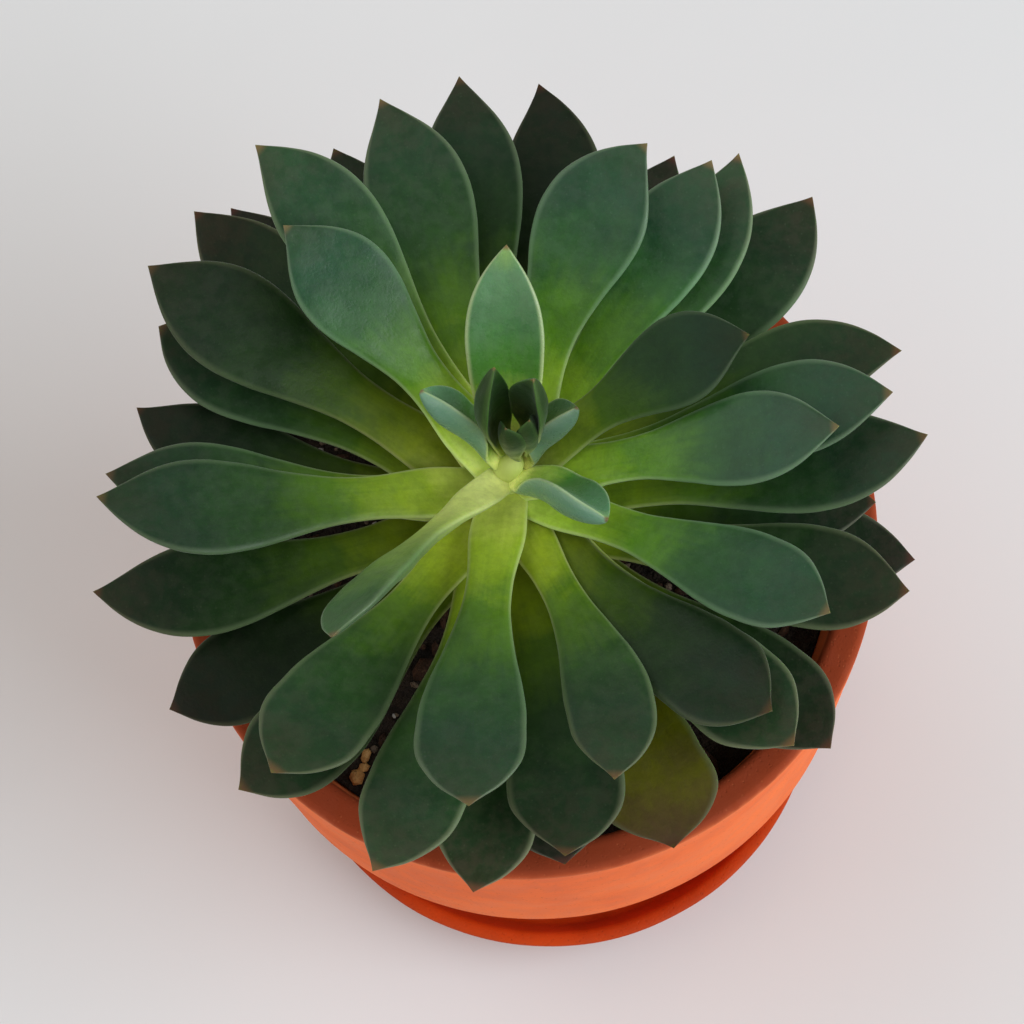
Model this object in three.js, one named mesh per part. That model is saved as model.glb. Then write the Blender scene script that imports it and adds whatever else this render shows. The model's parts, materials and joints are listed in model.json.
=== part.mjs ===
// Potted succulent rosette: a clay pot in its clay saucer, potting soil, a short stem and its leaves.
// Millimetres, +Z up. The origin is the centre of the saucer's underside, on the table.
import * as THREE from "three";

// ---- saucer -----------------------------------------------------------------
const SAUCER_R = 56.5;
const SAUCER_H = 16;
const SAUCER_FLOOR = 4.5;
const SAUCER_WALL = 3.2;
const SAUCER_FOOT_R = 48;
const SAUCER_FOOT_EASE = 3;
const SAUCER_FOOT_RISE = 1.6;
const SAUCER_WELL_R = 49.5;
const SAUCER_WELL_EASE = 2;
const SAUCER_WELL_RISE = 1.2;
const LIP_EASE = 0.5;

// ---- pot --------------------------------------------------------------------
const GAP = 0.3;
const POT_BASE_Z = SAUCER_FLOOR + GAP;
const POT_TOP_Z = 120;
const POT_BASE_R = 43;
const POT_BASE_EASE = 1.2;
const POT_RIM_R = 65.7;
const RIM_ROUND = 1.4;
const RIM_EASE = 0.4;
const COLLAR_H = 54;
const COLLAR_FOOT_R = 61.6;
const COLLAR_EASE = 0.8;
const BODY_TOP_R = 57.2;
const POT_WALL = 5.4;
const MOUTH_EASE = 0.8;
const POT_FLOOR = 6;
const DRAIN_R = 7;
const ROUND_SIDES = 60;

// ---- soil and stem ----------------------------------------------------------
const SOIL_DROP = 11;
const SOIL_CROWN = 3;
const SOIL_SHOULDER = 0.8;
const SOIL_SHOULDER_RISE = 1.2;
const SOIL_DOME = 0.4;
const SOIL_DOME_RISE = 2.7;
const STEM_X = -4;
const STEM_Y = 3;
const STEM_FOOT_R = 7.4;
const STEM_TOP_R = 1.5;
const STEM_SIDES = 12;
const STEM_STATIONS = [0, 0.25, 0.5, 0.7, 0.85, 0.97];
const STEM_LEAN_X = 6;
const STEM_LEAN_Y = 4;
const STEM_LEAN_SHARPNESS = 4;
const CROWN_Z = POT_TOP_Z + 35;

// ---- leaf form --------------------------------------------------------------
const TIER_STEP = 3.3;
const LEAF_THICK = 3.8;
const LEAF_SIDES = 8;
const LEAF_CHANNEL = 1.3;
const FULL_THICK_WIDTH = 15;
const FULL_CHANNEL_WIDTH = 18;
const TOP_SHARE = 0.85;
const KEEL_SHARE = 1.25;
const FOOT_CLEAR = 0.36;
const ROLL_DONE = 0.4;
const TIP_HOOK = 1.2;
const HOOK_SHARPNESS = 8;
const CANT_SHARPNESS = 5;

// Rise of the leaf above level (degrees) at the stem and at the tip, against tier.
const RISE_AT_STEM = [
  [0, 84], [0.5, 78], [1, 68], [1.5, 62], [2, 54], [3, 34], [4, 30], [5, 26], [6, 22], [8, 14], [10, 4],
];
const RISE_AT_TIP = [
  [0, 96], [0.5, 96], [1, 96], [1.5, 78], [2, 46], [3, 23], [4, 19], [5, 15], [6, 12], [8, 4], [10, -4],
];

// Outline along the leaf: station, share of full width on a pointed and on a blunt leaf,
// share of full thickness.
const OUTLINE = [
  [0, 0.27, 0.27, 0.5],
  [0.14, 0.34, 0.34, 0.62],
  [0.3, 0.4, 0.38, 0.76],
  [0.43, 0.55, 0.5, 0.9],
  [0.55, 0.77, 0.68, 1.0],
  [0.65, 0.95, 0.87, 1.0],
  [0.74, 1.0, 0.99, 0.96],
  [0.82, 0.89, 0.98, 0.86],
  [0.89, 0.62, 0.81, 0.7],
  [0.945, 0.3, 0.52, 0.5],
  [0.982, 0.09, 0.18, 0.26],
];

// One leaf per line: name, direction of growth about the stem (degrees, 0 = +X),
// tier (0 = innermost, each tier one step further down the stem), reach of the tip
// from the stem, full width, sideways cant of the tip, roll (degrees),
// bluntness (0 = pointed, 1 = blunt).
const LEAVES = [
  ["bud_north", 312, 0.3, 2.56, 4, 0, 0, 0],
  ["bud_south", 225, 0.5, 2.9, 4.6, 0, 0, 0],
  ["bud_west", 140, 1.0, 5.3, 8.5, -3.5, 0, 0.6],
  ["bud_east", 32, 0.7, 4.5, 8, 0, 0, 0.5],
  ["heart_east", 14, 2.0, 12.9, 10, 0, 0, 0.3],
  ["heart_west", 146, 2.0, 16.9, 10.5, 0, 0, 0.3],
  ["heart_south", 311, 2.7, 24, 12, 0, 0, 0.5],
  ["inner_north", 82, 2.5, 32, 14.5, -1, 0, 0.2],
  ["inner_southwest", 223, 2.8, 50, 13, 3, 50, 0.8],
  ["inner_east", 17, 3.2, 47, 17, -4, 0, 0.2],
  ["inner_northwest", 124, 3.6, 54, 18, 2, 0, 0.1],
  ["east_upper", 351, 4.0, 60, 17.5, 0, 0, 0.2],
  ["south_upper", 256, 4.1, 69, 19, 2, 0, 0.9],
  ["southeast_upper", 322, 4.6, 67, 17, -1, 0, 0.5],
  ["northeast_upper", 62, 4.3, 60, 20, -7, 0, 0.4],
  ["west_upper", 185, 4.6, 71, 18.5, -6, 0, 0.4],
  ["northwest_upper", 115, 4.8, 70, 18, 5, 0, 0.3],
  ["south_narrow", 287, 5.2, 64, 16, -8, 0, 1],
  ["southwest_upper", 229, 5.4, 71, 19, -1, 0, 0.9],
  ["east_middle", 0, 5.3, 71, 18, -2, 0, 0.4],
  ["southeast_middle", 303, 5.8, 68, 19, 4, 0, 0.9],
  ["northeast_middle", 45, 5.9, 68, 18, 2, 0, 0.3],
  ["northwest_middle", 142, 5.8, 73, 20, -1, 0, 0.3],
  ["north_upper", 96, 6.4, 73, 19, 3, 0, 0.1],
  ["west_middle", 174, 6.6, 71, 17, -3, 0, 0.3],
  ["southwest_middle", 250, 6.4, 78, 18.5, -6, 0, 0.7],
  ["east_lower", 350, 6.3, 77, 19, 5, 0, 0.4],
  ["south_middle", 275, 7.5, 71, 21, -5, 0, 0.9],
  ["northeast_lower", 39, 6.8, 74, 17, 8, 0, 0.3],
  ["north_middle", 86, 7.4, 78, 18, 1, 0, 0.1],
  ["west_lower", 192, 7.9, 76, 18.5, -8, 0, 0.4],
  ["northwest_lower", 146, 7.4, 70, 19, -1, 0, 0.8],
  ["southeast_broad", 333, 7.9, 77, 20, 3, 0, 0.5],
  ["east_dark", 14, 7.4, 77, 18, -7, 0, 0.4],
  ["southwest_broad", 207, 8.7, 72, 19, -3, 0, 0.6],
  ["southeast_lower", 307, 6.8, 74, 19, -1, 0, 0.7],
  ["south_dark", 260, 8.8, 74, 18, -3, 0, 0.8],
  ["north_dark", 71, 8.9, 82, 19, 8, 0, 0.3],
  ["northeast_dark", 32, 8.2, 81, 20, 5, 0, 0.4],
  ["northwest_dark", 126, 9.0, 82, 18, 0, 0, 0.3],
  ["north_hidden", 106, 8.2, 74, 17, 0, 0, 0.3],
  ["west_dark", 162, 8.4, 70, 17, -7, 0, 0.4],
  ["southwest_dark", 228, 7.1, 74, 19, -6, 0, 0.9],
  ["south_pale", 290, 8.3, 74, 20, -5, 0, 1],
  ["east_hidden", 350, 8.7, 69, 18, 0, 0, 0.4],
  ["southeast_dark", 316, 9.2, 76, 19, -4, 0, 0.7],
  ["northeast_hidden", 57, 9.8, 78, 17, 0, 0, 0.2],
  ["northwest_hidden", 121, 9.9, 81, 17, 0, 0, 0.2],
  ["southeast_hidden", 344, 9.8, 77, 18, 0, 0, 0.5],
  ["south_hidden", 271, 9.7, 68, 19, 0, 0, 0.9],
];

const radians = THREE.MathUtils.degToRad;

// Straight-line reading of a [position, value] list.
function readTable(table, at) {
  for (let i = 1; i < table.length; i++) {
    const [x0, y0] = table[i - 1];
    const [x1, y1] = table[i];
    if (at <= x1) {
      return y0 + ((y1 - y0) * Math.max(0, at - x0)) / (x1 - x0);
    }
  }
  return table[table.length - 1][1];
}

function stemRadius(z) {
  const share = (z - (POT_TOP_Z - SOIL_DROP)) / (CROWN_Z - (POT_TOP_Z - SOIL_DROP));
  return STEM_FOOT_R + (STEM_TOP_R - STEM_FOOT_R) * THREE.MathUtils.clamp(share, 0, 1);
}

// The stem stands straight and leans over only near its crown.
function stemCentre(z) {
  const share = THREE.MathUtils.clamp((z - POT_TOP_Z + SOIL_DROP) / (CROWN_Z - POT_TOP_Z + SOIL_DROP), 0, 1);
  const lean = share ** STEM_LEAN_SHARPNESS;
  return new THREE.Vector3(STEM_X + STEM_LEAN_X * lean, STEM_Y + STEM_LEAN_Y * lean, z);
}

// A solid turned about +Z from an outline of [radius, height] that starts and ends on the axis
// or closes on itself.
function turned(outline, sides) {
  return new THREE.LatheGeometry(
    outline.map(([r, z]) => new THREE.Vector2(r, z)),
    sides,
  ).rotateX(Math.PI / 2);
}

// Rings of equal count skinned into one closed body: a flat foot at the first ring, a point at the end.
function skinned(rings, tip) {
  const count = rings[0].length;
  const points = rings.flat();
  const foot = rings[0].reduce((sum, p) => sum.add(p), new THREE.Vector3()).divideScalar(count);
  points.push(foot, tip);
  const index = [];
  for (let i = 0; i < count; i++) {
    const j = (i + 1) % count;
    index.push(points.length - 2, i, j);
    for (let k = 0; k < rings.length - 1; k++) {
      const a = k * count;
      const b = a + count;
      index.push(a + i, b + j, a + j, a + i, b + i, b + j);
    }
    const last = (rings.length - 1) * count;
    index.push(last + j, last + i, points.length - 1);
  }
  const geometry = new THREE.BufferGeometry();
  geometry.setAttribute("position", new THREE.Float32BufferAttribute(points.flatMap((p) => p.toArray()), 3));
  geometry.setIndex(index);
  return geometry;
}

// A fleshy leaf: its spine leaves the stem at one rise and flattens evenly to another; across it the
// upper face is a shallow channel and the underside a rounded keel.
function leaf(turn, tier, reach, width, cant, roll, blunt) {
  const foot = CROWN_Z - TIER_STEP * tier;
  const rise0 = radians(readTable(RISE_AT_STEM, tier));
  const rise1 = radians(readTable(RISE_AT_TIP, tier));
  const fleshy = LEAF_THICK * Math.min(1, width / FULL_THICK_WIDTH);
  const start = stemRadius(foot) + GAP + fleshy * FOOT_CLEAR * Math.sin(rise0);
  const bend = rise1 - rise0;
  const meanRun = (Math.sin(rise1) - Math.sin(rise0)) / bend;
  const length = (reach - start) / meanRun;
  const out = new THREE.Vector3(Math.cos(radians(turn)), Math.sin(radians(turn)), 0);
  const left = new THREE.Vector3(-out.y, out.x, 0);
  const up = new THREE.Vector3(0, 0, 1);
  const spineAt = (u) => {
    const rise = rise0 + bend * u;
    const run = start + (length * (Math.sin(rise) - Math.sin(rise0))) / bend;
    const climb = (length * (Math.cos(rise0) - Math.cos(rise))) / bend;
    return stemCentre(foot)
      .addScaledVector(up, climb + TIP_HOOK * u ** HOOK_SHARPNESS)
      .addScaledVector(out, run)
      .addScaledVector(left, cant * u ** CANT_SHARPNESS);
  };
  const ring = ([u, pointed, rounded, thick]) => {
    const broad = pointed + (rounded - pointed) * blunt;
    const rise = rise0 + bend * u;
    const centre = spineAt(u);
    const normal = out.clone().multiplyScalar(-Math.sin(rise)).addScaledVector(up, Math.cos(rise));
    const along = out.clone().multiplyScalar(Math.cos(rise)).addScaledVector(up, Math.sin(rise));
    const tilt = radians(roll) * Math.min(1, u / ROLL_DONE);
    const across = left.clone().applyAxisAngle(along, tilt);
    normal.applyAxisAngle(along, tilt);
    const half = (width / 2) * broad;
    const depth = (fleshy / 2) * thick;
    return Array.from({ length: LEAF_SIDES }, (_, k) => {
      const angle = ((k + 0.5) / LEAF_SIDES) * 2 * Math.PI;
      const side = Math.cos(angle) / Math.cos(Math.PI / LEAF_SIDES);
      const dish = LEAF_CHANNEL * broad * (width / FULL_CHANNEL_WIDTH) * side * side;
      const share = angle > Math.PI ? KEEL_SHARE : TOP_SHARE;
      return centre
        .clone()
        .addScaledVector(across, -half * side)
        .addScaledVector(normal, depth * Math.sin(angle) * share + dish);
    });
  };
  return skinned(OUTLINE.map(ring), spineAt(1));
}

function mesh(name, geometry, color, roughness) {
  const piece = new THREE.Mesh(geometry, new THREE.MeshStandardMaterial({ color, roughness, metalness: 0 }));
  piece.name = name;
  return piece;
}

const part = new THREE.Group();
part.name = "potted_succulent";

part.add(mesh("saucer", turned([
  [0, 0],
  [SAUCER_FOOT_R, 0],
  [SAUCER_FOOT_R + SAUCER_FOOT_EASE, SAUCER_FOOT_RISE],
  [SAUCER_R, SAUCER_H - LIP_EASE],
  [SAUCER_R - LIP_EASE, SAUCER_H],
  [SAUCER_R - SAUCER_WALL + LIP_EASE, SAUCER_H],
  [SAUCER_R - SAUCER_WALL, SAUCER_H - LIP_EASE],
  [SAUCER_WELL_R, SAUCER_FLOOR + SAUCER_WELL_RISE],
  [SAUCER_WELL_R - SAUCER_WELL_EASE, SAUCER_FLOOR],
  [0, SAUCER_FLOOR],
], ROUND_SIDES), 0x8a3a1e, 0.9));

const COLLAR_FOOT_Z = POT_TOP_Z - COLLAR_H;
const MOUTH_R = POT_RIM_R - POT_WALL - MOUTH_EASE;
const wellR = (z) => {
  const share = (z - POT_BASE_Z - POT_FLOOR) / (POT_TOP_Z - POT_BASE_Z - POT_FLOOR);
  return POT_BASE_R - POT_WALL + (MOUTH_R - POT_BASE_R + POT_WALL) * share;
};
part.add(mesh("pot", turned([
  [DRAIN_R, POT_BASE_Z],
  [POT_BASE_R - POT_BASE_EASE, POT_BASE_Z],
  [POT_BASE_R, POT_BASE_Z + POT_BASE_EASE],
  [BODY_TOP_R, COLLAR_FOOT_Z],
  [COLLAR_FOOT_R - COLLAR_EASE, COLLAR_FOOT_Z],
  [COLLAR_FOOT_R, COLLAR_FOOT_Z + COLLAR_EASE],
  [POT_RIM_R, POT_TOP_Z - RIM_ROUND],
  [POT_RIM_R - RIM_EASE, POT_TOP_Z - RIM_EASE],
  [POT_RIM_R - RIM_ROUND, POT_TOP_Z],
  [MOUTH_R + RIM_ROUND, POT_TOP_Z],
  [MOUTH_R, POT_TOP_Z - RIM_ROUND],
  [wellR(POT_BASE_Z + POT_FLOOR), POT_BASE_Z + POT_FLOOR],
  [DRAIN_R, POT_BASE_Z + POT_FLOOR],
  [DRAIN_R, POT_BASE_Z],
], ROUND_SIDES), 0xc8623c, 0.85));

const SOIL_FOOT_Z = POT_BASE_Z + POT_FLOOR + GAP;
const SOIL_EDGE_Z = POT_TOP_Z - SOIL_DROP;
part.add(mesh("soil", turned([
  [0, SOIL_FOOT_Z],
  [wellR(SOIL_FOOT_Z) - GAP, SOIL_FOOT_Z],
  [wellR(SOIL_EDGE_Z) - GAP, SOIL_EDGE_Z],
  [wellR(SOIL_EDGE_Z) * SOIL_SHOULDER, SOIL_EDGE_Z + SOIL_SHOULDER_RISE],
  [wellR(SOIL_EDGE_Z) * SOIL_DOME, SOIL_EDGE_Z + SOIL_DOME_RISE],
  [0, SOIL_EDGE_Z + SOIL_CROWN],
], ROUND_SIDES), 0x1d1510, 1));

const STEM_FOOT_Z = SOIL_EDGE_Z + SOIL_CROWN + GAP;
const STEM_H = CROWN_Z - STEM_FOOT_Z;
const stemRings = STEM_STATIONS.map((share) => {
  const z = STEM_FOOT_Z + STEM_H * share;
  return Array.from({ length: STEM_SIDES }, (_, k) => {
    const angle = (-2 * Math.PI * k) / STEM_SIDES;
    const side = new THREE.Vector3(Math.cos(angle), Math.sin(angle), 0);
    return stemCentre(z).addScaledVector(side, stemRadius(z));
  });
});
part.add(mesh("stem", skinned(stemRings, stemCentre(CROWN_Z)), 0x8a8f3c, 0.7));

LEAVES.forEach(([name, turn, tier, reach, width, cant, roll, blunt]) => {
  const shade = new THREE.Color(0x4f8a62).lerp(new THREE.Color(0x26402c), Math.min(1, tier / 9));
  part.add(mesh("leaf_" + name, leaf(turn, tier, reach, width, cant, roll, blunt), shade, 0.45));
});

export default part;
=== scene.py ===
# %% [markdown]
# # A potted succulent
# This lesson dresses the CAD frame of a rosette succulent: a clay pot in its saucer, the soil, a
# short stem and fifty fleshy leaves. The CAD model gives every place and every size; each cell
# below gives one piece its real surface or one finish its real look. Lengths are in metres.

# %% The fixed frame
import json

import bpy
import numpy as np
from mathutils import Matrix, Vector


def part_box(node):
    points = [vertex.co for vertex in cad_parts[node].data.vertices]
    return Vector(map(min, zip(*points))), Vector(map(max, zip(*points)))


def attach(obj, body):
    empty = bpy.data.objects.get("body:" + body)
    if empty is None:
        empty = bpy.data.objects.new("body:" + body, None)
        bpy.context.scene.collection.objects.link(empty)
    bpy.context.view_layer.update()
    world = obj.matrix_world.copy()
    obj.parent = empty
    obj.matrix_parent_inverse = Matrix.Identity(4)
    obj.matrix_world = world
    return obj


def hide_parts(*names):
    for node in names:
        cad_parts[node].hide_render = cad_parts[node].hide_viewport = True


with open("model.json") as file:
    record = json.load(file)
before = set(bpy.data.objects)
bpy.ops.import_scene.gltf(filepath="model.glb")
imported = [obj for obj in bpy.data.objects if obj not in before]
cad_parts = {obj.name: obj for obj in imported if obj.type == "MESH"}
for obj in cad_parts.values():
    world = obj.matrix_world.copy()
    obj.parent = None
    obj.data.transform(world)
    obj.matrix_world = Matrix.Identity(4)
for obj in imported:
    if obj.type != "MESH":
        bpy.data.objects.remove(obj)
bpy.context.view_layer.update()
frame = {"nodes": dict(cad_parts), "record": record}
MM = 0.001
SEED = 28
print("CAD nodes:", len(frame["nodes"]))

# %% [markdown]
# ## The camera
# The plant is seen steeply from above, a little from its front, with the camera rolled slightly.
# A long lens keeps the rosette nearly free of perspective. The camera's axes come from its
# elevation and roll, so that both stay readable numbers.

# %% Camera
CAMERA_AT = np.array([-2.2, -223.3, 783.4]) * MM
CAMERA_ELEVATION = np.radians(71.0)
CAMERA_ROLL = np.radians(-9.04)
LENS_MM = 131.0
SENSOR_MM = 36
NEAREST_SEEN = 0.05

look = np.array([0, np.cos(CAMERA_ELEVATION), -np.sin(CAMERA_ELEVATION)])
level_right = np.array([1.0, 0, 0])
level_up = np.array([0, np.sin(CAMERA_ELEVATION), np.cos(CAMERA_ELEVATION)])
right = np.cos(CAMERA_ROLL) * level_right + np.sin(CAMERA_ROLL) * level_up
up = np.cos(CAMERA_ROLL) * level_up - np.sin(CAMERA_ROLL) * level_right

camera_data = bpy.data.cameras.new("camera")
camera_data.lens = LENS_MM
camera_data.sensor_width = SENSOR_MM
camera_data.clip_start = NEAREST_SEEN
camera = bpy.data.objects.new("camera", camera_data)
camera_axes = Matrix(np.stack([right, up, -look], 1)).to_4x4()
camera.matrix_world = Matrix.Translation(Vector(CAMERA_AT)) @ camera_axes
bpy.context.scene.collection.objects.link(camera)
bpy.context.scene.camera = camera
bpy.context.scene.view_settings.view_transform = "Standard"
print("camera", [round(v, 3) for v in camera.location])

# %% [markdown]
# ## Node helpers
# A material is a small graph. These helpers add one node each and return the socket that the
# next node reads, so that a finish can be written almost like a sum.

# %% Node helpers
def put(socket, value):
    """Gives an input a link if the value is a socket, or a fixed value otherwise."""
    if isinstance(value, bpy.types.NodeSocket):
        socket.id_data.links.new(value, socket)
    elif socket.type == "RGBA" and len(value) == 3:
        socket.default_value = (*value, 1)
    else:
        socket.default_value = value


def maths(tree, operation, first, second=0.5):
    """One Math node."""
    node = tree.nodes.new("ShaderNodeMath")
    node.operation = operation
    put(node.inputs[0], first)
    put(node.inputs[1], second)
    return node.outputs[0]


def times(tree, first, second):
    """The product of two values."""
    return maths(tree, "MULTIPLY", first, second)


def plus(tree, first, second):
    """The sum of two values."""
    return maths(tree, "ADD", first, second)


def centred(tree, value):
    """A value from 0 to 1 carried to -0.5 to 0.5."""
    return maths(tree, "SUBTRACT", value, 0.5)


def blend(tree, share, first, second, way="MIX"):
    """One colour Mix node: share 0 gives the first colour, 1 the second."""
    node = tree.nodes.new("ShaderNodeMix")
    node.data_type = "RGBA"
    node.blend_type = way
    put(node.inputs["Factor"], share)
    put(node.inputs["A"], first)
    put(node.inputs["B"], second)
    return node.outputs["Result"]


def span(tree, value, low, high, start=0.0, end=1.0):
    """Smoothly carries low..high of a value to start..end, held at both ends."""
    node = tree.nodes.new("ShaderNodeMapRange")
    node.interpolation_type = "SMOOTHSTEP"
    names = ("Value", "From Min", "From Max", "To Min", "To Max")
    for name, item in zip(names, (value, low, high, start, end)):
        put(node.inputs[name], item)
    return node.outputs[0]


def noise(tree, vector, scale, detail=3.0, roughness=0.5, distortion=0.0):
    """One Noise Texture: scale is in waves per unit of the vector."""
    node = tree.nodes.new("ShaderNodeTexNoise")
    put(node.inputs["Vector"], vector)
    put(node.inputs["Scale"], scale)
    put(node.inputs["Detail"], detail)
    put(node.inputs["Roughness"], roughness)
    put(node.inputs["Distortion"], distortion)
    return node.outputs["Fac"]


def ramp(tree, value, stops):
    """A Color Ramp from (position, colour) stops."""
    node = tree.nodes.new("ShaderNodeValToRGB")
    elements = node.color_ramp.elements
    elements[0].position, elements[0].color = stops[0][0], (*stops[0][1], 1)
    elements[1].position, elements[1].color = stops[-1][0], (*stops[-1][1], 1)
    for place, colour in stops[1:-1]:
        elements.new(place).color = (*colour, 1)
    put(node.inputs[0], value)
    return node.outputs["Color"]


def attribute(tree, name):
    """A named value that the piece's mesh carries."""
    node = tree.nodes.new("ShaderNodeAttribute")
    node.attribute_name = name
    return node.outputs["Fac"]


def place(tree, name="Object"):
    """The piece's own coordinates, in metres, or its UV map."""
    return tree.nodes.new("ShaderNodeTexCoord").outputs[name]


def axes(tree, vector):
    """The X, Y and Z of a vector, as three outputs."""
    node = tree.nodes.new("ShaderNodeSeparateXYZ")
    put(node.inputs[0], vector)
    return node.outputs


def bump(tree, height, distance):
    """A Bump node whose height is worth the given distance in metres."""
    node = tree.nodes.new("ShaderNodeBump")
    node.inputs["Distance"].default_value = distance
    put(node.inputs["Height"], height)
    return node.outputs["Normal"]


def finish_of(name):
    """A new material: returns it, its tree and its Principled shader."""
    material = bpy.data.materials.new(name)
    material.use_nodes = True
    shader = material.node_tree.nodes["Principled BSDF"]
    return material, material.node_tree, shader


# %% [markdown]
# ## Effects that several finishes share
# Clay, soil and leaf skin are all unevenly coloured in wide clouds and in fine grains. Each of
# the two effects is a node group with its own inputs, built once and placed in each finish.

# %% Shared node groups
def new_group(name, inputs, outputs):
    """An empty node group with float or vector inputs and float outputs."""
    group = bpy.data.node_groups.new(name, "ShaderNodeTree")
    for label, kind, value in inputs:
        socket = group.interface.new_socket(label, in_out="INPUT", socket_type=kind)
        if value is not None:
            socket.default_value = value
    for label in outputs:
        group.interface.new_socket(label, in_out="OUTPUT", socket_type="NodeSocketFloat")
    entry = group.nodes.new("NodeGroupInput")
    leave = group.nodes.new("NodeGroupOutput")
    return group, entry, leave


def placed(tree, group, **values):
    """Places a node group in a finish and returns its outputs."""
    node = tree.nodes.new("ShaderNodeGroup")
    node.node_tree = group
    for name, value in values.items():
        put(node.inputs[name], value)
    return node.outputs


FLOAT = "NodeSocketFloat"
PLACE_INPUT = ("Place", "NodeSocketVector", None)
SMALLER = 4.3

clouds, entry, leave = new_group("clouds", [PLACE_INPUT, ("Size", FLOAT, 60.0)], ["Wide", "Small"])
spot_at, waves_per_metre = entry.outputs["Place"], entry.outputs["Size"]
wide = noise(clouds, spot_at, waves_per_metre, 4.0, 0.55, 0.6)
small = noise(clouds, spot_at, times(clouds, waves_per_metre, SMALLER), 3.0, 0.6)
put(leave.inputs["Wide"], span(clouds, wide, 0.34, 0.68))
put(leave.inputs["Small"], span(clouds, small, 0.36, 0.66))

grains, entry, leave = new_group("grains", [PLACE_INPUT, ("Size", FLOAT, 900.0)], ["Pale", "Dark", "Pits"])
cell = grains.nodes.new("ShaderNodeTexVoronoi")
put(cell.inputs["Vector"], entry.outputs["Place"])
put(cell.inputs["Scale"], entry.outputs["Size"])
spot = span(grains, cell.outputs["Distance"], 0.12, 0.4, 1.0, 0.0)
pick = grains.nodes.new("ShaderNodeSeparateColor")
put(pick.inputs[0], cell.outputs["Color"])
KINDS = [("Pale", 0.8, 0.95), ("Dark", 0.78, 0.95), ("Pits", 0.6, 0.9)]
for number, (label, few, many) in enumerate(KINDS):
    chosen = span(grains, pick.outputs[number], few, many)
    put(leave.inputs[label], times(grains, spot, chosen))
print("groups:", clouds.name, grains.name)

# %% [markdown]
# ## Surfaces from numpy
# Every new piece is a grid of points: rows run along it and columns run round it. The points
# are worked out as whole arrays, then handed to the mesh in one call.

# %% Mesh helpers
def tube_faces(rows, columns, closed=False):
    """Quads between neighbouring rows, the last column joined to the first, and in a closed loop
    the last row joined to the first too."""
    i, j = np.meshgrid(np.arange(rows if closed else rows - 1), np.arange(columns), indexing="ij")
    k = (j + 1) % columns
    n = (i + 1) % rows
    quads = np.stack([i * columns + j, i * columns + k, n * columns + k, n * columns + j], -1)
    return quads.reshape(-1, 4)


def capped_faces(rows, columns):
    """A tube's quads, and a fan of triangles from each end row to its pole vertex."""
    j = np.arange(columns)
    k = (j + 1) % columns
    first = np.stack([np.full(columns, rows * columns), k, j], -1)
    end = (rows - 1) * columns
    last = np.stack([np.full(columns, rows * columns + 1), end + j, end + k], -1)
    return tube_faces(rows, columns).tolist() + first.tolist() + last.tolist()


def make_piece(name, points, faces, finish, stands_for=(), uv=None, values=None):
    """A smooth mesh object at the origin that rides on the frame and takes the given finish."""
    mesh = bpy.data.meshes.new(name)
    mesh.from_pydata(np.asarray(points).tolist(), [], faces)
    mesh.validate()
    mesh.polygons.foreach_set("use_smooth", np.ones(len(mesh.polygons), dtype=bool))
    if uv is not None:
        corners = np.empty(len(mesh.loops), dtype=np.int32)
        mesh.loops.foreach_get("vertex_index", corners)
        mesh.uv_layers.new(name="grown").data.foreach_set("uv", uv[corners].ravel())
    for label, array in (values or {}).items():
        mesh.attributes.new(label, "FLOAT", "POINT").data.foreach_set("value", array)
    mesh.materials.append(finish)
    mesh.update()
    piece = bpy.data.objects.new(name, mesh)
    bpy.context.scene.collection.objects.link(piece)
    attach(piece, "root")
    if stands_for:
        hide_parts(*stands_for)
    return piece


def waves(points, size, seed, count=24):
    """Smooth unevenness from -1 to 1: a sum of sine waves about one size long, each running in a
    random direction with a random start."""
    rng = np.random.default_rng(seed)
    runs = rng.normal(size=(count, 3))
    stretch = rng.uniform(0.6, 1.6, (count, 1))
    runs *= stretch * 2 * np.pi / size / np.linalg.norm(runs, axis=1, keepdims=True)
    starts = rng.uniform(0, 2 * np.pi, count)
    return np.sin(points @ runs.T + starts).sum(-1) / np.sqrt(count) / 1.4


def smooth_step(value, low, high):
    """0 below low, 1 above high, and an even S curve between."""
    t = np.clip((value - low) / (high - low), 0, 1)
    return t * t * (3 - 2 * t)


def eased_corners(profile, radii, steps=6):
    """Each inner corner of an [r, z] profile becomes a short parabola: it leaves one side and
    meets the other at the corner's radius, (1-t)^2 A + 2t(1-t) P + t^2 B."""
    before, corner, after = profile[:-2], profile[1:-1], profile[2:]
    back, on = before - corner, after - corner
    long_back = np.linalg.norm(back, axis=1, keepdims=True)
    long_on = np.linalg.norm(on, axis=1, keepdims=True)
    cut = np.minimum(np.array(radii)[:, None], 0.49 * np.minimum(long_back, long_on))
    a = corner + back / long_back * cut
    b = corner + on / long_on * cut
    t = np.linspace(0, 1, steps)[None, :, None]
    curve = (1 - t) ** 2 * a[:, None] + 2 * t * (1 - t) * corner[:, None] + t**2 * b[:, None]
    return np.concatenate([profile[:1], curve.reshape(-1, 2), profile[-1:]])


def spaced(profile, step):
    """The same profile with points at most one step apart, its own points kept."""
    long = np.linalg.norm(np.diff(profile, axis=0), axis=1)
    along = np.concatenate([[0], np.cumsum(long)])
    even = np.linspace(0, along[-1], int(along[-1] / step) + 1)
    at = np.unique(np.round(np.concatenate([along, even]), 7))
    at = at[np.concatenate([[True], np.diff(at) > step * 0.08])]
    return np.stack([np.interp(at, along, profile[:, 0]), np.interp(at, along, profile[:, 1])], -1)


def turned(profile, sides):
    """A profile of [r, z] carried round the upright axis: point = (r cos a, r sin a, z)."""
    a = np.arange(sides) * 2 * np.pi / sides
    r, z = profile[:, :1], profile[:, 1:]
    return np.stack([r * np.cos(a), r * np.sin(a), z + 0 * a], -1).reshape(-1, 3)


print("helpers ready")

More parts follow.
